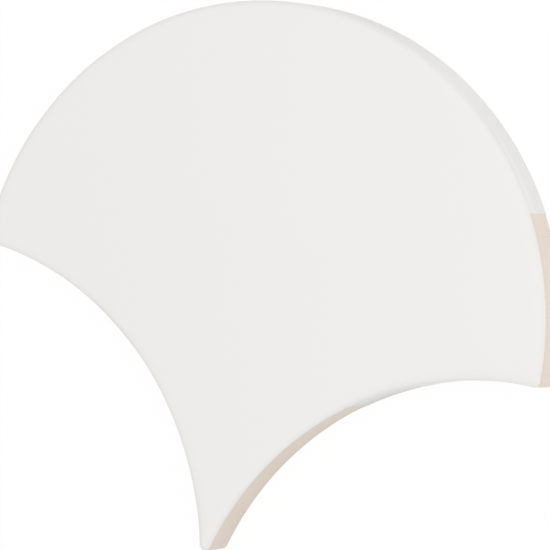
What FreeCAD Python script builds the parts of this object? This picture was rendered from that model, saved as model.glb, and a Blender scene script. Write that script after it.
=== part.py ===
"""Fish scale tile: a fan-shaped glazed wall tile, pressed and fired as one piece.

The head is an arc of one radius. Each flank is a hollow arc struck from the centre of the head that
nests in it, wider by the joint, so that like tiles close up with an even gap all round. The tile lies
on its back with the face up. Its origin is the middle of its outline on the back plane, X runs across
the width and Y runs from the foot to the top of the head.
"""
import FreeCAD, Part
import math
import os

# Driving dimensions, in millimetres
head_radius = 60.0          # the rounded head, half the width of the tile
joint = 1.5                 # gap that nested tiles leave for grout
thickness = 8.0
front_edge_radius = 1.2     # rounding where the face turns over into the walls
face_corner_radius = 0.1    # the flat face's own radius at each side corner
face_foot_radius = 0.2      # the flat face's own radius at the foot
back_edge_bevel = 0.3       # fettled edge round the back
back_rim = 6.0              # plain border round the keyed part of the back
groove_width = 4.0          # of a keying groove at the back plane
groove_depth = 0.8
groove_draft = 0.5          # how far each long side of a groove leans in over its depth
groove_pitch = 8.0
shortest_groove = 8.0       # along the shorter of its two long sides

# Sizes that follow from the driving dimensions
flank_radius = head_radius + joint
neighbour_offset = head_radius + joint / 2
corner_radius = front_edge_radius + face_corner_radius
foot_radius = front_edge_radius + face_foot_radius
keyed_head_radius = head_radius - back_rim
keyed_flank_radius = flank_radius + back_rim


def point(x, y, z=0.0):
    return FreeCAD.Vector(x, y, z)


def mirrored(place):
    """The same place on the left half of the tile."""
    return point(-place.x, place.y, place.z)


def on_circle(centre, radius, towards):
    """Point of a circle that lies towards a given place."""
    way = towards - centre
    return centre + way * (radius / way.Length)


def meeting_point(centre_a, reach_a, centre_b, reach_b):
    """Point at given distances from two centres, to the left of the way from the first to the second."""
    way = centre_b - centre_a
    along = (reach_a ** 2 - reach_b ** 2 + way.Length ** 2) / (2 * way.Length)
    aside = math.sqrt(reach_a ** 2 - along ** 2)
    forward = way * (1 / way.Length)
    left = point(-forward.y, forward.x)
    return centre_a + forward * along + left * aside


def arc_about(centre, start, end):
    """Edge along the shorter arc about a centre."""
    halfway = on_circle(centre, (start - centre).Length, (start + end) * 0.5)
    return Part.Arc(start, halfway, end).toShape()


# Centres of the arcs, measured from the centre of the head
head_centre = point(0, 0)
neighbour_centre = point(neighbour_offset, -neighbour_offset)
corner_centre = meeting_point(
    head_centre, head_radius - corner_radius, neighbour_centre, flank_radius + corner_radius
)
foot_rise = math.sqrt((flank_radius + foot_radius) ** 2 - neighbour_offset ** 2)
foot_centre = point(0, foot_rise - neighbour_offset)

# Ends of the tile along Y, and the middle between them, which becomes the origin
head_top = point(0, head_radius)
foot_end = foot_centre - point(0, foot_radius)
middle_y = (head_top.y + foot_end.y) / 2


def outline():
    """Closed outline of the tile: head, side corners, hollow flanks and round foot, all tangent."""
    head_end = on_circle(head_centre, head_radius, corner_centre)
    flank_top = on_circle(neighbour_centre, flank_radius, corner_centre)
    flank_foot = on_circle(neighbour_centre, flank_radius, foot_centre)
    right_side = [
        arc_about(corner_centre, flank_top, head_end),
        arc_about(neighbour_centre, flank_foot, flank_top),
    ]
    left_side = [
        arc_about(mirrored(corner_centre), mirrored(head_end), mirrored(flank_top)),
        arc_about(mirrored(neighbour_centre), mirrored(flank_top), mirrored(flank_foot)),
    ]
    head = Part.Arc(head_end, head_top, mirrored(head_end)).toShape()
    foot = Part.Arc(mirrored(flank_foot), foot_end, flank_foot).toShape()
    return Part.Wire(Part.__sortEdges__([head, foot] + left_side + right_side))


def edges_at(solid, height):
    """Edges of a solid that lie in one level plane."""
    rounding_error = 1e-6
    found = []
    for edge in solid.Edges:
        box = edge.BoundBox
        if max(abs(box.ZMin - height), abs(box.ZMax - height)) < rounding_error:
            found.append(edge)
    return found


def blank():
    """The plain tile: the outline at full thickness, rounded in front and bevelled at the back."""
    body = Part.Face(outline()).extrude(point(0, 0, thickness))
    body = body.makeFillet(front_edge_radius, edges_at(body, thickness))
    return body.makeChamfer(back_edge_bevel, edges_at(body, 0.0))


def keyed_field():
    """The part of the back inside its plain rim, as deep as the grooves."""
    field = Part.makeCylinder(keyed_head_radius, groove_depth, head_centre)
    for centre in (neighbour_centre, mirrored(neighbour_centre)):
        field = field.cut(Part.makeCylinder(keyed_flank_radius, groove_depth, centre))
    return field


def keyed_width(y):
    """Width of that field at a height measured from the head's centre."""
    if abs(y) >= keyed_head_radius:
        return 0.0
    half_width = math.sqrt(keyed_head_radius ** 2 - y ** 2)
    rise = y + neighbour_offset
    if rise < keyed_flank_radius:
        within_flanks = neighbour_offset - math.sqrt(keyed_flank_radius ** 2 - rise ** 2)
        half_width = min(half_width, within_flanks)
    return 2 * half_width


def groove(low, high):
    """Straight keying groove right across, narrower at its floor so that it leaves the die."""
    section = [
        point(-head_radius, low, 0),
        point(-head_radius, high, 0),
        point(-head_radius, high - groove_draft, groove_depth),
        point(-head_radius, low + groove_draft, groove_depth),
    ]
    section.append(section[0])
    return Part.Face(Part.makePolygon(section)).extrude(point(2 * head_radius, 0, 0))


def grooves():
    """Keying grooves at an even pitch, ending at the rim, with a land at the middle of the tile."""
    field = keyed_field()
    rows_each_way = math.ceil((head_top.y - middle_y) / groove_pitch)
    found = []
    for row in range(-rows_each_way, rows_each_way):
        low = middle_y + (row + 0.5) * groove_pitch - groove_width / 2
        high = low + groove_width
        if min(keyed_width(low), keyed_width(high)) >= shortest_groove:
            found.append(groove(low, high).common(field))
    return found


tile = blank().cut(grooves())
tile.translate(point(0, -middle_y))

os.makedirs("parts", exist_ok=True)
tile.exportStep("parts/tile.step")
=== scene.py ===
"""Studio scene of a fish scale tile.

The tile is one piece of pressed clay. A white satin glaze covers its face, rolls over the front edge in
a soft shoulder and ends there in a thin lip. Round the upper head, and thinly beside the tips of the
flanks, the glaze also covers the wall. The other walls and the keyed back are bare, sandy biscuit.
Lengths are in metres.
"""

import math

import bpy
import numpy as np
from mathutils import Matrix, Vector
from mathutils.geometry import delaunay_2d_cdt


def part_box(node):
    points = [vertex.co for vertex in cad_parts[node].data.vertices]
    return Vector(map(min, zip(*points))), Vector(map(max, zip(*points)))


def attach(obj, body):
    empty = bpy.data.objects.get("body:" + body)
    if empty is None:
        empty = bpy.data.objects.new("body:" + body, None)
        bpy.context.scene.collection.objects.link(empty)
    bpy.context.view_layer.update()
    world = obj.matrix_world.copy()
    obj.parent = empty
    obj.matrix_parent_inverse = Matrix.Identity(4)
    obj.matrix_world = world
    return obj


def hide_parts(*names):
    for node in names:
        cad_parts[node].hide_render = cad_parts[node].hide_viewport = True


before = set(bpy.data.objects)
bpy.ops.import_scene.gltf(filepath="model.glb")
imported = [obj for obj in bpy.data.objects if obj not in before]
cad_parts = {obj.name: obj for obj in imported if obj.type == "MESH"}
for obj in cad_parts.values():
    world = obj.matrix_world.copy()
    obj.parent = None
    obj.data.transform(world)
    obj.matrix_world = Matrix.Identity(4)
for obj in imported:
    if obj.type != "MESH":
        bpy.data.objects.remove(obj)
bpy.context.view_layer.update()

MM = 0.001

# The tile's outline, as a pressing die is drawn
tile_low, tile_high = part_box("tile")
thickness = tile_high.z - tile_low.z
head_radius = 60 * MM
joint = 1.5 * MM                       # gap that nested tiles leave for grout
corner_radius = 1.3 * MM               # at the two side tips
foot_radius = 1.4 * MM
wall_clearance = 0.02 * MM             # the visible walls stand this far inside the solid
tightest_corner = 0.4 * MM             # of the rings that the shoulder draws on the face
flank_radius = head_radius + joint
neighbour_offset = head_radius + joint / 2
foot_rise = math.sqrt((flank_radius + foot_radius) ** 2 - neighbour_offset ** 2)
foot_end = foot_rise - neighbour_offset - foot_radius
head_centre = np.array((0.0, -(head_radius + foot_end) / 2))
right_neighbour = head_centre + (neighbour_offset, -neighbour_offset)
left_neighbour = head_centre + (-neighbour_offset, -neighbour_offset)

# The outline's arcs, numbered in the order in which they are drawn
head_arc, left_tip_arc, left_flank_arc, foot_arc, right_flank_arc, right_tip_arc = range(6)

# The glaze over the front edge
shoulder_reach = 2.8 * MM              # how far in the face starts to fall
shoulder_drop = 0.85 * MM              # how far down the edge stands upright
shoulder_fullness = 2.2                # 2 is an ellipse, more is squarer
lip_depth = 0.44 * MM                  # from the face down to where the glaze ends on bare walls
foot_run = 0.11 * MM                   # how much further down it ends round the foot
foot_run_y = -36 * MM                  # it starts to run here, and more so further down the tile
glaze_skin = 0.13 * MM                 # thickness of the coat where it ends on bare clay
lip_height = 0.14 * MM
lip_wander = 0.05 * MM                 # rise and fall of the lip along the edge
lip_waves = (5, 9, 14, 23, 37)         # how often it rises and falls, once round the tile
wall_hollow = 0.16 * MM                # the glazed wall is pinched in below the shoulder
wall_hollow_height = 2.4 * MM
hollow_unevenness = 0.3                # share by which the hollow is deeper or shallower in places
hollow_waves = (3, 7, 12, 19)
hollow_top_y = 36 * MM                 # above here on the tile the hollow dies out
change_length = 8 * MM                 # the run at the foot and the hollow come and go over this
glaze_limit = math.radians(32)         # the glazed stretch of the head's wall starts here, above +X
limit_softness = 0.16 * MM
limit_wander = 0.04 * MM
limit_sway = 7                         # how far the wander turns from the lip to the bevel, in radians
limit_sway_start = 1.3
bead_height = 0.05 * MM                # roll of glaze along that limit
bead_width = 0.25 * MM
tip_limit = math.radians(52.5)         # the glazed stretch of a flank starts here, about the flank's centre
tip_limit_softness = 1.2 * MM
tip_limit_x = neighbour_offset - flank_radius * math.cos(tip_limit)
face_swell = 0.015 * MM                # gentle unevenness of the flat face
swell_border = 8 * MM                  # it dies out over this at the border

# The back
back_bevel = 0.3 * MM
back_rim = 6 * MM
groove_width = 4 * MM
groove_depth = 0.8 * MM
groove_slope = 0.6 * MM                # run of a groove's soft sides
groove_pitch = 8 * MM
shortest_groove = 8 * MM
groove_wear = 0.05                     # share by which a groove's depth varies along it

# Fineness of the mesh
outline_step = 0.42 * MM
limit_step = 0.08 * MM
limit_window = 1.2 * MM
face_step = 3.0 * MM
shoulder_rows = 20
lip_rows = 4
wall_rows = 15
wall_crowding = 1.6                    # more than 1 draws the rows of the wall together under the lip
bevel_rows = 5
groove_side_points = 6
groove_floor_points = 4
groove_length_points = 40
crease_angle = math.radians(38)        # edges that turn by more are not shaded smooth
weld_distance = 1e-9                   # points of a flat area closer than this are one

# Depths below the face where the glaze and its painted shade and highlight change, from the start of each
# change to its end
# the edge darkens here partly as the glaze thins, partly as painted shade along its turn
edge_thins = (0.10 * MM, 0.42 * MM)
edge_thickens = (0.62 * MM, 1.05 * MM)
thicker_at_top = 0.2 * MM              # it thickens this much higher round the top
wall_starts = (0.45 * MM, 0.95 * MM)
highlight_band_starts = (0.7 * MM, 1.2 * MM)      # painted highlight in a band down the head's wall
highlight_band_ends = (2.2 * MM, 3.0 * MM)
tip_dries = (0.02 * MM, 0.42 * MM)     # the drier glaze beside the tips
# painted shade over the flanks' shoulders beside the tips
tip_shoulder_shade_starts = (0.05 * MM, 0.38 * MM)
tip_shoulder_shade_ends = (0.43 * MM, 0.63 * MM)
# painted shade, darker towards the bottom of the walls beside the tips
tip_wall_shade_deepens = (2.0 * MM, 5.0 * MM)

# Heights on the tile where the glaze changes
flank_ends = (-6 * MM, -3 * MM)
head_starts = (0, 6 * MM)
bare_head_ends = (22 * MM, 26 * MM)
highlight_band_dies_out = (31 * MM, 41 * MM)
top_starts = (37 * MM, 45 * MM)
top_wall_starts = (45 * MM, 53 * MM)

# Distances from the tile's middle line where the glaze changes
tip_starts = (tip_limit_x - 3 * MM, tip_limit_x + 3 * MM)
worn_at_limit = (tip_limit_x + 2.5 * MM, tip_limit_x - 0.5 * MM)
tip_ends = (26 * MM, 44 * MM)

# Depths, and then heights, where the bare clay changes
lip_shade_ends = (lip_depth + 0.2 * MM, lip_depth + 0.9 * MM)
bevel_starts = (thickness - 0.7 * MM, thickness - 0.3 * MM)
bevel_ends = (thickness - 0.12 * MM, thickness - 0.02 * MM)
clay_shade_heights = (-48 * MM, 10 * MM)         # painted shade: the clay is paler up the tile and darker down it, where the flanks' walls face away from the light

# Colours
dull_white = (0.842, 0.836, 0.814, 1)
bright_white = (0.850, 0.842, 0.824, 1)
# partly thin glaze, partly painted shade along the turn of the edge and over the shoulders beside the tips
thin_glaze_and_edge_shade = (0.790, 0.768, 0.748, 1)
thin_glaze_on_bare_head = (0.800, 0.732, 0.668, 1)
glaze_on_wall = (0.852, 0.832, 0.817, 1)
# painted highlight in a band down the head's wall
painted_highlight_white = (0.888, 0.870, 0.857, 1)
# painted shade on the wall round the top of the head
painted_shade_on_top_wall = (0.814, 0.797, 0.784, 1)
# painted shade, darker towards the bottom of the walls beside the tips
painted_shade_on_tip_wall = (0.770, 0.752, 0.735, 1)
# coat wearing thin towards the bare clay, with painted shade that makes it darker than either
worn_and_shaded_glaze = (0.700, 0.650, 0.622, 1)
dull_clay = (0.794, 0.699, 0.624, 1)
pale_clay = (0.863, 0.778, 0.673, 1)
pale_sand = (0.90, 0.83, 0.755, 1)
die_line_brown = (0.74, 0.63, 0.53, 1)
grain_brown = (0.66, 0.53, 0.42, 1)
# painted shadow under the glaze lip; the same colour darkens the bottom bevel
lip_shade_and_bevel_clay = (0.720, 0.672, 0.628, 1)
paper_white = (1, 1, 1, 1)


# Nodes, written as sums

class Wire:
    """A value on its way through a finish. Arithmetic on it adds Math nodes."""

    def __init__(self, finish, socket):
        self.finish = finish
        self.socket = socket

    def reckon(self, operation, first, second):
        return self.finish.node("ShaderNodeMath", {"operation": operation}, {0: first, 1: second})

    def __add__(self, other):
        return self.reckon("ADD", self, other)

    def __radd__(self, other):
        return self.reckon("ADD", other, self)

    def __sub__(self, other):
        return self.reckon("SUBTRACT", self, other)

    def __rsub__(self, other):
        return self.reckon("SUBTRACT", other, self)

    def __mul__(self, other):
        return self.reckon("MULTIPLY", self, other)

    def __rmul__(self, other):
        return self.reckon("MULTIPLY", other, self)


class Finish:
    """The nodes of one material, or of the sky."""

    def __init__(self, owner):
        owner.use_nodes = True
        self.tree = owner.node_tree
        self.tree.nodes.clear()

    def node(self, kind, settings=None, sockets=None, output=0):
        """A node with its settings, then the values or wires of its sockets."""
        made = self.tree.nodes.new(kind)
        for name, value in (settings or {}).items():
            setattr(made, name, value)
        for name, value in (sockets or {}).items():
            if isinstance(value, Wire):
                self.tree.links.new(value.socket, made.inputs[name])
            else:
                made.inputs[name].default_value = value
        return Wire(self, made.outputs[output]) if made.outputs else None

    def place(self):
        """Where on the tile a point lies, in metres."""
        return self.node("ShaderNodeTexCoord", output="Object")

    def stretched(self, place, along_x, along_y, along_z):
        return self.node(
            "ShaderNodeVectorMath", {"operation": "MULTIPLY"}, {0: place, 1: (along_x, along_y, along_z)}
        )

    def cloud(self, place, size, detail=2.0):
        """Soft unevenness from 0 to 1, with lumps of a given size."""
        return self.node(
            "ShaderNodeTexNoise", None, {"Vector": place, "Scale": 1 / size, "Detail": detail}
        )

    def cells(self, place, size, output):
        """Scattered grains a given size apart: Distance to the nearest, or its own Color."""
        return self.node(
            "ShaderNodeTexVoronoi", None, {"Vector": place, "Scale": 1 / size}, output=output
        )

    def fade(self, value, start, end):
        """Rises softly from 0 to 1 as a value goes from start to end."""
        return self.node(
            "ShaderNodeMapRange",
            {"interpolation_type": "SMOOTHSTEP"},
            {"Value": value, "From Min": start, "From Max": end},
        )

    def blend(self, share, first, second):
        """First colour, with a share of the second laid over it."""
        return self.node(
            "ShaderNodeMix", {"data_type": "RGBA"}, {0: share, 6: first, 7: second}, output=2
        )

    def part_of(self, place, axis):
        return self.node("ShaderNodeSeparateXYZ", None, {0: place}, output=axis)

    def relief(self, height, distance):
        """Small relief, given as a height from 0 to 1 times a real distance."""
        return self.node("ShaderNodeBump", None, {"Height": height, "Distance": distance}, output="Normal")

    def surface(self, sockets):
        """What the material shows, as one Principled surface."""
        principled = self.node("ShaderNodeBsdfPrincipled", None, sockets)
        self.node("ShaderNodeOutputMaterial", None, {"Surface": principled})


def white_glaze():
    """Satin white, a little warm, with the faint peel and pinholes of a fired coat, and painted shade and a
    painted highlight over its edge and walls.
    """
    material = bpy.data.materials.new("white_glaze")
    finish = Finish(material)
    place = finish.place()

    depth = thickness - finish.part_of(place, "Z")
    up_tile = finish.part_of(place, "Y")
    off_middle = finish.node("ShaderNodeMath", {"operation": "ABSOLUTE"}, {0: finish.part_of(place, "X")})

    # Where the coat is thin over the edge or dry and worn beside the tips, and where painted shade and a
    # painted highlight lie over the edge and walls
    thickened = finish.fade(depth + finish.fade(up_tile, *top_starts) * thicker_at_top, *edge_thickens)
    # darker edge: partly thin glaze, partly painted shade along its turn
    thin = finish.fade(depth, *edge_thins) * (1 - thickened)
    highlight_band = finish.fade(depth, *highlight_band_starts) * (1 - finish.fade(depth, *highlight_band_ends))
    # painted highlight in a band down the head's wall
    painted_highlight = highlight_band * finish.fade(up_tile, *head_starts) * (1 - finish.fade(up_tile, *highlight_band_dies_out))
    on_wall = finish.fade(depth, *wall_starts)
    top_wall = on_wall * finish.fade(up_tile, *top_wall_starts)
    along_flank = 1 - finish.fade(up_tile, *flank_ends)
    near_tip = along_flank * finish.fade(off_middle, *tip_starts)
    at_tip = near_tip * finish.fade(off_middle, *tip_ends)
    tip_wall = (near_tip - at_tip * 0.9) * finish.fade(depth, *tip_dries)
    # painted shade, darker towards the bottom of the walls beside the tips
    tip_wall_shade = tip_wall * finish.fade(depth, *tip_wall_shade_deepens)
    tip_shoulder_band = finish.fade(depth, *tip_shoulder_shade_starts) * (1 - finish.fade(depth, *tip_shoulder_shade_ends))
    # painted shade over the flanks' shoulders beside the tips
    tip_shoulder_shade = (near_tip - at_tip * 0.55) * tip_shoulder_band
    # coat wearing thin towards the bare clay, with painted shade that makes it darker than either
    wearing_off_and_shade = on_wall * along_flank * finish.fade(off_middle, *worn_at_limit)
    on_bare_head = (1 - finish.fade(up_tile, *bare_head_ends)) * (1 - along_flank)

    pooled = finish.blend(finish.cloud(place, 28 * MM), dull_white, bright_white)
    breaking_and_shade = finish.blend(on_bare_head, thin_glaze_and_edge_shade, thin_glaze_on_bare_head)
    colour = finish.blend(thin * (1 - near_tip) * 0.65 + tip_shoulder_shade * 0.9, pooled, breaking_and_shade)
    colour = finish.blend(on_wall * 0.8, colour, glaze_on_wall)
    colour = finish.blend(painted_highlight * 0.95, colour, painted_highlight_white)
    # painted shade on the wall round the top of the head
    colour = finish.blend(top_wall, colour, painted_shade_on_top_wall)
    colour = finish.blend(tip_wall_shade, colour, painted_shade_on_tip_wall)
    colour = finish.blend(wearing_off_and_shade * 0.9, colour, worn_and_shaded_glaze)

    peel = finish.cloud(place, 1.4 * MM)
    waves = finish.cloud(place, 9 * MM)
    pinholes = finish.fade(finish.cells(place, 7 * MM, "Distance"), 0.03, 0.012)
    finish.surface({
        "Base Color": colour,
        "Roughness": 0.28 + peel * 0.04 + top_wall * 0.1 + tip_wall * 0.33,
        "IOR": 1.5,
        "Normal": finish.relief(peel * 0.2 + waves - pinholes * 0.5, 0.012 * MM),
    })
    return material


def bare_biscuit():
    """Fired clay without glaze: pale beige, matt and sandy, with faint lines from the die, painted shadow
    under the glaze lip, darker clay along the bottom bevel and painted shade down the tile.
    """
    material = bpy.data.materials.new("bare_biscuit")
    finish = Finish(material)
    place = finish.place()

    depth = thickness - finish.part_of(place, "Z")
    under_lip = 1 - finish.fade(depth, *lip_shade_ends)
    on_bevel = finish.fade(depth, *bevel_starts) * (1 - finish.fade(depth, *bevel_ends))
    # painted shade that darkens the clay down the tile
    painted_light_up_tile = finish.fade(finish.part_of(place, "Y"), *clay_shade_heights)
    patches = finish.cloud(place, 10 * MM, detail=3.0)
    sand = finish.cloud(place, 0.45 * MM, detail=3.0)
    die_lines = finish.cloud(finish.stretched(place, 1, 1, 0.05), 0.6 * MM)
    grain_spacing = 0.9 * MM
    grain_distance = finish.cells(place, grain_spacing, "Distance")
    grain_kind = finish.node(
        "ShaderNodeSeparateColor", None, {0: finish.cells(place, grain_spacing, "Color")}, output=0
    )
    grains = finish.fade(grain_distance, 0.26, 0.16) * finish.fade(grain_kind, 0.78, 0.82)

    colour = finish.blend(patches * 0.5 + painted_light_up_tile * 0.8 - 0.15, dull_clay, pale_clay)
    colour = finish.blend(finish.fade(sand, 0.35, 0.75) * 0.20, colour, pale_sand)
    colour = finish.blend(finish.fade(die_lines, 0.45, 0.7) * 0.12, colour, die_line_brown)
    colour = finish.blend(grains * 0.25, colour, grain_brown)
    # painted shadow under the glaze lip, and darker clay along the bottom bevel
    colour = finish.blend(under_lip * 0.6 + on_bevel * 0.4, colour, lip_shade_and_bevel_clay)
    finish.surface({
        "Base Color": colour,
        "Roughness": 0.82 + sand * 0.14,
        "Specular IOR Level": 0.3,
        "Normal": finish.relief(sand + die_lines * 0.5 + patches - grains * 0.4, 0.05 * MM),
    })
    return material


# The tile's mesh

def smooth(share):
    """Soft step from 0 to 1."""
    held = np.clip(share, 0.0, 1.0)
    return held * held * (3 - 2 * held)


def bearing(way):
    """Direction of a way, in radians from +X."""
    return math.atan2(way[1], way[0])


def meeting_point(centre_a, reach_a, centre_b, reach_b):
    """Point at given distances from two centres, to the left of the way from the first to the second."""
    way = centre_b - centre_a
    span = math.hypot(*way)
    along = (reach_a ** 2 - reach_b ** 2 + span ** 2) / (2 * span)
    aside = math.sqrt(reach_a ** 2 - along ** 2)
    forward = way / span
    return centre_a + forward * along + np.array((-forward[1], forward[0])) * aside


def mirrored(place):
    """The same place on the left half of the tile."""
    return np.array((-place[0], place[1]))


def even_steps(length, step):
    """Shares along an arc, from its start up to but without its end."""
    return np.linspace(0, 1, math.ceil(length / step), endpoint=False)


def head_steps(length):
    """Even steps along the head, closer together at the two ends of the glazed wall."""
    window = limit_window / length
    limit = glaze_limit / math.pi
    close = np.linspace(-window, window, round(2 * limit_window / limit_step))
    far = even_steps(length, outline_step)
    far = far[(abs(far - limit) > window) & (abs(far - (1 - limit)) > window)]
    return np.sort(np.concatenate((far, limit + close, 1 - limit + close)))


def arcs(inset):
    """The arcs of the outline drawn in by an inset: centre, radius, first and last bearing, bulge."""
    corner = max(corner_radius - inset, tightest_corner)
    foot = max(foot_radius - inset, tightest_corner)
    head = head_radius - inset
    flank = flank_radius + inset
    corner_centre = meeting_point(head_centre, head - corner, right_neighbour, flank + corner)
    rise = math.sqrt((flank + foot) ** 2 - neighbour_offset ** 2)
    foot_centre = np.array((0.0, right_neighbour[1] + rise))
    head_end = bearing(corner_centre - head_centre)
    tip_end = bearing(right_neighbour - corner_centre)
    flank_foot = bearing(foot_centre - right_neighbour)
    foot_side = bearing(right_neighbour - foot_centre)
    half_turn = math.pi
    return [
        (head_centre, head, head_end, half_turn - head_end, 1),
        (mirrored(corner_centre), corner, half_turn - head_end, half_turn - tip_end, 1),
        (left_neighbour, flank, -tip_end, half_turn - flank_foot, -1),
        (foot_centre, foot, half_turn - foot_side, 2 * half_turn + foot_side, 1),
        (right_neighbour, flank, flank_foot, half_turn + tip_end, -1),
        (corner_centre, corner, tip_end, head_end, 1),
    ]


def arc_steps():
    """Shares along each arc at which the outline has a point, closer together on the small arcs."""
    small_arcs = (left_tip_arc, foot_arc, right_tip_arc)
    steps = []
    for number, (_, radius, first, last, _) in enumerate(arcs(0.0)):
        length = radius * abs(last - first)
        if number == head_arc:
            steps.append(head_steps(length))
        elif number in small_arcs:
            steps.append(even_steps(length, outline_step / 2))
        else:
            steps.append(even_steps(length, outline_step))
    return steps


outline_steps = arc_steps()
arc_of_point = np.repeat(np.arange(len(outline_steps)), [len(steps) for steps in outline_steps])
on_head = arc_of_point == head_arc
on_flank = np.isin(arc_of_point, (left_flank_arc, right_flank_arc))
on_tip = np.isin(arc_of_point, (left_tip_arc, right_tip_arc))


def outline(inset):
    """Points of the outline drawn in by an inset, and the way out at each."""
    points, ways_out = [], []
    for (centre, radius, first, last, bulge), steps in zip(arcs(inset), outline_steps):
        turns = first + (last - first) * steps
        way = np.column_stack((np.cos(turns), np.sin(turns)))
        points.append(centre + radius * way)
        ways_out.append(bulge * way)
    return np.concatenate(points), np.concatenate(ways_out)


edge, way_out = outline(wall_clearance)
edge_count = len(edge)


def wander(seed, waves):
    """A line that wanders between about -1 and 1 once round the outline."""
    usual_peak = 1.5
    draw = np.random.default_rng(seed)
    steps = np.linalg.norm(np.roll(edge, -1, axis=0) - edge, axis=1)
    way_round = np.concatenate(((0.0,), np.cumsum(steps)[:-1])) / steps.sum()
    line = np.zeros(edge_count)
    for count in waves:
        line += np.sin(2 * math.pi * (count * way_round + draw.random())) / len(waves) ** 0.5
    return line / usual_peak


def room(points):
    """Distance of points inside the tile from the nearest edge."""
    within_head = head_radius - np.linalg.norm(points - head_centre, axis=-1)
    off_right = np.linalg.norm(points - right_neighbour, axis=-1) - flank_radius
    off_left = np.linalg.norm(points - left_neighbour, axis=-1) - flank_radius
    return np.minimum(within_head, np.minimum(off_right, off_left))


def past_glaze_limit():
    """How far along the head each point of the outline lies inside the glazed stretch of wall."""
    spread = edge - head_centre
    turns = np.arctan2(spread[:, 1], spread[:, 0])
    inside = np.minimum(turns - glaze_limit, math.pi - glaze_limit - turns) * head_radius
    return np.where(on_head, inside, -head_radius)


def past_tip_limit():
    """How far along a flank each point of the outline lies inside the glazed stretch beside its tip."""
    turns = np.arctan2(edge[:, 1] - right_neighbour[1], neighbour_offset - abs(edge[:, 0]))
    return np.where(on_flank, (turns - tip_limit) * flank_radius, -head_radius)


def round_tip():
    """How far round a tip each point of the outline lies on the flank's side of it."""
    halfway = math.sin(math.radians(-45))
    return np.where(on_tip, (halfway - way_out[:, 1]) * corner_radius, -head_radius)


def coated(inside, softness):
    """Share of the coat, from 0 on bare wall to 1 on glazed wall."""
    return smooth(0.5 + inside / (2 * softness))


into_glaze = past_glaze_limit()
wall_glazed = coated(into_glaze, limit_softness) + coated(round_tip(), limit_softness)
wall_glazed += coated(past_tip_limit(), tip_limit_softness)
glaze_bead = bead_height * np.exp(-(into_glaze / bead_width) ** 2)
lip_line = lip_depth + lip_wander * wander(seed=4, waves=lip_waves)
lip_line += foot_run * smooth((foot_run_y - edge[:, 1]) / change_length)


def ring(points, depths):
    """One closed row of points round the tile, at given depths below the face."""
    return np.column_stack((points, thickness - depths))


def shoulder_inset(depth):
    """How far in the shoulder lies, a given depth below the face."""
    share = np.clip(1 - depth / shoulder_drop, 0.0, 1.0)
    return shoulder_reach * (1 - (1 - share ** shoulder_fullness) ** (1 / shoulder_fullness))


def shoulder_rings():
    """The face's edge, rolling over from level down to the line of the lip."""
    power = 2 / shoulder_fullness
    last_turn = math.acos((1 - lip_depth / shoulder_drop) ** (1 / power))
    rings = []
    for turn in np.linspace(0, last_turn, shoulder_rows):
        depth = shoulder_drop * (1 - math.cos(turn) ** power)
        rings.append(ring(outline(shoulder_inset(depth))[0], depth * lip_line / lip_depth))
    return rings


def wall_inset(below_lip):
    """How far the wall stands back, a given length below the line of the lip."""
    covered = shoulder_inset(lip_depth + below_lip)
    bare = covered + glaze_skin * smooth(below_lip / lip_height)
    share = min(below_lip / wall_hollow_height, 1.0)
    deepest = 4 / 27
    pinch = share * (1 - share) ** 2 / deepest
    unevenness = 1 + hollow_unevenness * wander(seed=8, waves=hollow_waves)
    fading = 1 - smooth((edge[:, 1] - hollow_top_y) / change_length)
    glazed = covered + wall_hollow * pinch * unevenness * fading
    beaded = glaze_bead * smooth(below_lip / lip_height)
    return bare + (glazed - bare) * wall_glazed - beaded


def wall_rings():
    """The lip, then the wall down to the bevel, then the bevel to the back plane."""
    rings = []
    drift = limit_wander * np.exp(-(into_glaze / limit_window) ** 2)
    along = np.column_stack((-way_out[:, 1], way_out[:, 0]))
    lip_depths = [lip_height * row / lip_rows for row in range(1, lip_rows + 1)]
    wall_height = thickness - back_bevel - lip_depth - lip_height
    wall_shares = [(row / wall_rows) ** wall_crowding for row in range(1, wall_rows + 1)]
    for below in lip_depths:
        rings.append(ring(edge - way_out * wall_inset(below)[:, None], lip_line + below))
    for share in wall_shares:
        below = lip_height + wall_height * share
        sway = drift * math.sin(limit_sway * share + limit_sway_start)
        points = edge - way_out * wall_inset(below)[:, None] + along * sway[:, None]
        depths = (lip_line + lip_height) * (1 - share) + (thickness - back_bevel) * share
        rings.append(ring(points, depths))
    last_inset = wall_inset(lip_height + wall_height)
    for row in range(1, bevel_rows + 1):
        turn = math.pi / 2 * row / bevel_rows
        inset = last_inset + back_bevel * (1 - math.cos(turn))
        depth = thickness - back_bevel * (1 - math.sin(turn))
        rings.append(ring(edge - way_out * inset[:, None], np.full(edge_count, depth)))
    return rings


def keyed_half_width(y):
    """Half the width of the back's keyed field at a given Y, 0 outside it."""
    rise = y - head_centre[1]
    reach = head_radius - back_rim
    if abs(rise) >= reach:
        return 0.0
    half = math.sqrt(reach ** 2 - rise ** 2)
    above_neighbour = y - right_neighbour[1]
    flank = flank_radius + back_rim
    if above_neighbour < flank:
        half = min(half, neighbour_offset - math.sqrt(flank ** 2 - above_neighbour ** 2))
    return half


def groove_lows():
    """Lower edge of each keying groove, at an even pitch about the tile's middle."""
    rows_each_way = math.ceil(tile_high.y / groove_pitch)
    lows = []
    for row in range(-rows_each_way, rows_each_way):
        low = (row + 0.5) * groove_pitch - groove_width / 2
        if 2 * min(keyed_half_width(low), keyed_half_width(low + groove_width)) >= shortest_groove:
            lows.append(low)
    return lows


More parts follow.
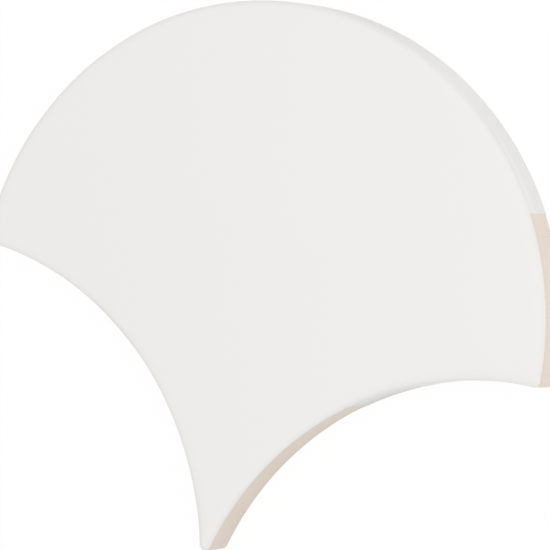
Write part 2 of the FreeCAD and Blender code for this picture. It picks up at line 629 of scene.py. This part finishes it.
def groove_patch(low):
    """Soft-sided keying groove as a grid of points, level with the back all round its border."""
    short_wave = 2.3 * MM
    long_wave = 5.1 * MM
    start = low / (0.025 * MM)         # so that no two grooves wear alike
    slope = np.linspace(0, groove_slope, groove_side_points)
    level = np.linspace(groove_slope, groove_width - groove_slope, groove_floor_points)[1:-1]
    across = np.concatenate((slope, level, groove_width - slope[::-1]))
    rows = []
    for offset in across:
        half = keyed_half_width(low + offset)
        middle = np.linspace(-half + groove_slope, half - groove_slope, groove_length_points)[1:-1]
        x = np.concatenate((-half + slope, middle, half - slope[::-1]))
        side = min(offset, groove_width - offset)
        end = half - abs(x)
        worn = 1 - groove_wear * np.sin(x / short_wave + start) * np.sin(x / long_wave)
        height = groove_depth * smooth(side / groove_slope) * smooth(end / groove_slope) * worn
        rows.append(np.column_stack((x, np.full(len(x), low + offset), height)))
    return np.array(rows)


class Shell:
    """Points and faces of the tile, gathered piece by piece."""

    def __init__(self):
        self.points = []
        self.faces = []
        self.glazed = []

    def add_points(self, points):
        first = len(self.points)
        self.points.extend(map(tuple, points))
        return np.arange(first, len(self.points))

    def add_faces(self, faces, glazed):
        self.faces.extend(faces)
        self.glazed.extend(glazed)

    def band(self, upper, lower, glazed):
        """Faces between two rings, each glazed or bare."""
        after_upper = np.roll(upper, -1)
        after_lower = np.roll(lower, -1)
        self.add_faces(np.column_stack((upper, lower, after_lower, after_upper)).tolist(), glazed)

    def grid(self, points):
        """Bare faces over a grid of points, seen from below. Returns its border in order."""
        rows, columns = points.shape[:2]
        numbers = self.add_points(points.reshape(-1, 3)).reshape(rows, columns)
        corners = (numbers[:-1, :-1], numbers[1:, :-1], numbers[1:, 1:], numbers[:-1, 1:])
        faces = np.stack(corners, axis=-1).reshape(-1, 4).tolist()
        self.add_faces(faces, [False] * len(faces))
        return np.concatenate(
            (numbers[0, :-1], numbers[:-1, -1], numbers[-1, :0:-1], numbers[:0:-1, 0])
        )

    def fill(self, loops, inner, up, glazed):
        """Triangles over a level area inside a border loop, outside the other loops."""
        numbers = np.concatenate(loops + [inner]).astype(int)
        flat = [Vector(self.points[number][:2]) for number in numbers]
        inside = 1
        border_only = [0]
        areas = []
        first = 0
        for loop in loops:
            areas.append(list(range(first, first + len(loop))))
            first += len(loop)
        _, _, triangles, origins, _, areas_of = delaunay_2d_cdt(flat, [], areas, inside, weld_distance)
        faces = []
        for triangle, within in zip(triangles, areas_of):
            if within == border_only:
                corners = [int(numbers[origins[corner][0]]) for corner in triangle]
                faces.append(corners if up else corners[::-1])
        self.add_faces(faces, [glazed] * len(faces))


def face_points(border_inset):
    """Points over the level face, with a gentle swell that dies out at its border."""
    across = np.arange(tile_low.x, tile_high.x, face_step)
    rows = np.arange(tile_low.y, tile_high.y, face_step * math.sqrt(3) / 2)
    points = []
    for number, y in enumerate(rows):
        x = across + (number % 2) * face_step / 2
        points.append(np.column_stack((x, np.full(len(x), y))))
    points = np.concatenate(points)
    clear = room(points) - border_inset
    points = points[clear > face_step / 2]
    clear = clear[clear > face_step / 2]
    x, y = points.T
    dimples = np.sin(x / (5.3 * MM) + 0.6) * np.sin(y / (6.1 * MM))
    slanting = np.sin(x / (9.7 * MM) - y / (11.3 * MM) + 2.0)
    depths = face_swell * smooth(clear / swell_border) * (1 + (dimples + slanting) / 2)
    return np.column_stack((points, thickness - depths))


def tile_mesh():
    """The whole tile: shoulder, lip, wall and bevel in rings, then the face and the keyed back."""
    shell = Shell()
    rings = shoulder_rings()
    shoulder_end = len(rings) - 1
    glaze_end = shoulder_end + lip_rows
    rings += wall_rings()
    bevel_start = len(rings) - 1 - bevel_rows
    numbers = [shell.add_points(points) for points in rings]
    wall_is_glazed = (wall_glazed + np.roll(wall_glazed, -1) > 1).tolist()
    for row in range(len(rings) - 1):
        if row < glaze_end:
            glazed = [True] * edge_count
        elif row < bevel_start:
            glazed = wall_is_glazed
        else:
            glazed = [False] * edge_count
        shell.band(numbers[row], numbers[row + 1], glazed)
    inner = shell.add_points(face_points(shoulder_reach))
    shell.fill([numbers[0]], inner, up=True, glazed=True)
    borders = [shell.grid(groove_patch(low)) for low in groove_lows()]
    shell.fill([numbers[-1]] + borders, np.array([], dtype=int), up=False, glazed=False)
    return shell


def fish_scale_tile():
    """The tile with its two finishes, riding on the part's one body."""
    shell = tile_mesh()
    mesh = bpy.data.meshes.new("glazed_tile")
    mesh.from_pydata(shell.points, [], shell.faces)
    mesh.materials.append(white_glaze())
    mesh.materials.append(bare_biscuit())
    finishes = np.where(shell.glazed, 0, 1).astype(np.int32)
    mesh.polygons.foreach_set("material_index", finishes)
    mesh.shade_smooth()
    mesh.set_sharp_from_angle(angle=crease_angle)
    tile = bpy.data.objects.new("glazed_tile", mesh)
    bpy.context.collection.objects.link(tile)
    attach(tile, "root")
    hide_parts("tile")


# The studio

sky_level = 0.888                      # light that the white room gives from all round
floor_shade = (0.76, 0.76, 0.76, 1)    # the floor's colour in the light that it gives back
floor_shadow_share = 0.05              # how much of the tile's shadow the white floor keeps
floor_size = 3.0
floor_gap = 0.02 * MM


def seen_directly(finish):
    """1 for what the camera sees, straight or in a reflection or through glass."""
    light_path = finish.node("ShaderNodeLightPath", output="Is Camera Ray")
    rays = light_path.socket.node.outputs
    glossy = Wire(finish, rays["Is Glossy Ray"])
    through = Wire(finish, rays["Is Transmission Ray"])
    return finish.node("ShaderNodeClamp", None, {"Value": light_path + glossy + through})


def white_room():
    """A plain white surround that lights the tile from all sides."""
    world = bpy.data.worlds.new("white_room")
    bpy.context.scene.world = world
    finish = Finish(world)
    glow = finish.node("ShaderNodeBackground", None, {"Color": paper_white, "Strength": sky_level})
    backdrop = finish.node("ShaderNodeBackground", None, {"Color": paper_white, "Strength": 1.0})
    sky = finish.node("ShaderNodeMixShader", None, {0: seen_directly(finish), 1: glow, 2: backdrop})
    finish.node("ShaderNodeOutputWorld", None, {"Surface": sky})


def pale_floor():
    """White paper that keeps a faint shadow of the tile."""
    material = bpy.data.materials.new("white_paper")
    finish = Finish(material)
    seen = seen_directly(finish)
    shade = finish.blend(seen, floor_shade, paper_white)
    paper = finish.node("ShaderNodeBsdfDiffuse", None, {"Color": shade})
    glow = finish.node("ShaderNodeEmission", None, {"Color": paper_white, "Strength": 1.0})
    share = seen * (1 - floor_shadow_share)
    surface = finish.node("ShaderNodeMixShader", None, {0: share, 1: paper, 2: glow})
    finish.node("ShaderNodeOutputMaterial", None, {"Surface": surface})
    half = floor_size / 2
    corners = [(-half, -half, 0), (half, -half, 0), (half, half, 0), (-half, half, 0)]
    mesh = bpy.data.meshes.new("studio_floor")
    mesh.from_pydata(corners, [], [(0, 1, 2, 3)])
    mesh.materials.append(material)
    floor = bpy.data.objects.new("studio_floor", mesh)
    floor.location.z = tile_low.z - floor_gap
    bpy.context.collection.objects.link(floor)


def softbox(name, bearing_degrees, elevation_degrees, distance, size, level):
    """Square lamp aimed at the tile. A white card facing it there is lit to the given level at most."""
    turn = math.radians(bearing_degrees)
    lift = math.radians(elevation_degrees)
    towards = Vector((math.cos(turn) * math.cos(lift), math.sin(turn) * math.cos(lift), math.sin(lift)))
    lamp = bpy.data.lights.new(name, "AREA")
    lamp.size = size
    lamp.energy = level * (math.pi * distance) ** 2
    stand = bpy.data.objects.new(name, lamp)
    stand.location = towards * distance
    stand.rotation_euler = towards.to_track_quat("Z", "Y").to_euler()
    bpy.context.collection.objects.link(stand)


def studio_lights():
    """A weak lamp overhead and a broad one at the tile's upper right."""
    softbox(
        "overhead_softbox", bearing_degrees=186, elevation_degrees=73.8, distance=1.0, size=0.14, level=0.011
    )
    softbox("side_softbox", bearing_degrees=25, elevation_degrees=46, distance=0.5, size=0.5, level=0.172)


def camera():
    """A long lens above the tile, a little to its right, with the tile turned in the picture."""
    turn_right = math.radians(25.151)
    turn_up = math.radians(5.798)
    roll = math.radians(11.972)
    stand_off = Vector((4.383, 7.990, 802.14)) * MM
    sensor = 36.0
    picture_reach = 7.7081             # focal length over picture width
    turn = Matrix.Rotation(turn_right, 3, "Y") @ Matrix.Rotation(-turn_up, 3, "X")
    turn = turn @ Matrix.Rotation(roll, 3, "Z")
    aim = Vector((head_centre[0], head_centre[1], tile_high.z))
    lens = bpy.data.cameras.new("camera")
    lens.sensor_width = sensor
    lens.lens = sensor * picture_reach
    view = bpy.data.objects.new("camera", lens)
    view.location = aim + turn @ stand_off
    view.rotation_euler = turn.to_euler()
    bpy.context.collection.objects.link(view)
    bpy.context.scene.camera = view


bpy.context.scene.view_settings.view_transform = "Standard"
fish_scale_tile()
white_room()
pale_floor()
studio_lights()
camera()
